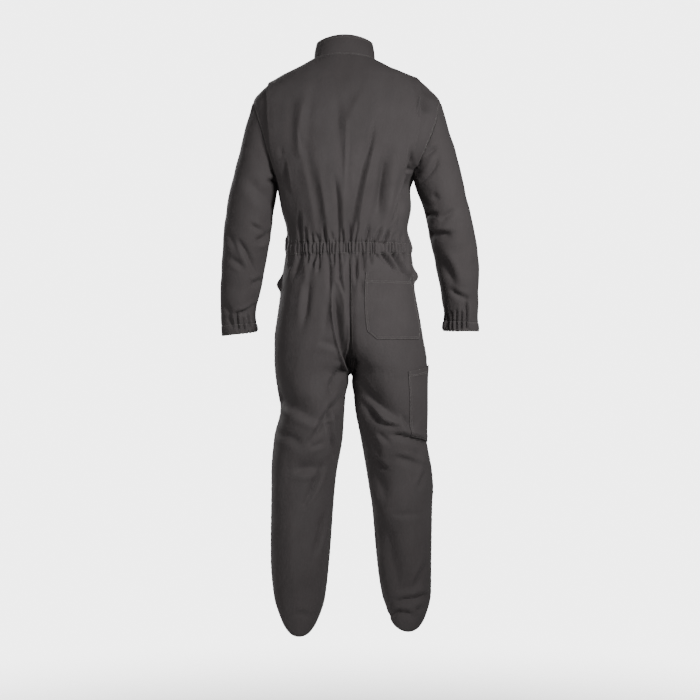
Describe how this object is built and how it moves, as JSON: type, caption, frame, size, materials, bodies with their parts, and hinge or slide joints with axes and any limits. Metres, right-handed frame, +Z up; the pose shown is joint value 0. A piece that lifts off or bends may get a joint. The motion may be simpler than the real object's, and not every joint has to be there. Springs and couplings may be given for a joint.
{
  "type": "boiler suit",
  "caption": "Work boiler suit with stand collar, action back, elasticated waist and cuffs, hip and tool pockets and a front zip; hollow, hanging as worn.",
  "frame": {"origin": "middle of the shoulder line, at the height of the neck's sides, where a hanger or a wearer's shoulders hold it", "axes": "+Z up towards the collar, +X towards the wearer's left sleeve, -Y out of the front"},
  "size_m": [0.7022, 0.2834, 1.6049],
  "materials": {
    "twill": "dark warm grey twill, matt",
    "pocketing": "black plain-woven pocket cloth",
    "tape": "dark woven zip tape",
    "zip_teeth": "dark moulded teeth",
    "zip_metal": "dark coated metal, satin"
  },
  "bodies": {
    "suit": {"back_centre": "twill", "back_side_left": "twill", "back_side_right": "twill", "collar": "twill", "cuff_left": "twill", "cuff_right": "twill", "front_left": "twill", "front_right": "twill", "hip_pocket": "twill", "side_pocket_left": "pocketing", "side_pocket_right": "pocketing", "sleeve_left": "twill", "sleeve_right": "twill", "tool_pocket": "twill", "trouser_back_left": "twill", "trouser_back_right": "twill", "trouser_front_left": "twill", "trouser_front_right": "twill", "waistband_back": "twill", "zip_chain": "zip_teeth", "zip_slider": "zip_metal", "zip_stop": "zip_metal", "zip_tape_left": "tape", "zip_tape_right": "tape"},
    "pull_tab": {"zip_pull": "zip_metal"}
  },
  "joints": [
    {"name": "pull_tab_swing", "type": "hinge", "parent": "suit", "child": "pull_tab", "pos_m": [0.00908, -0.07924, -0.00063], "axis": [-1, 0, 0], "range_deg": [0, 165]}
  ]
}
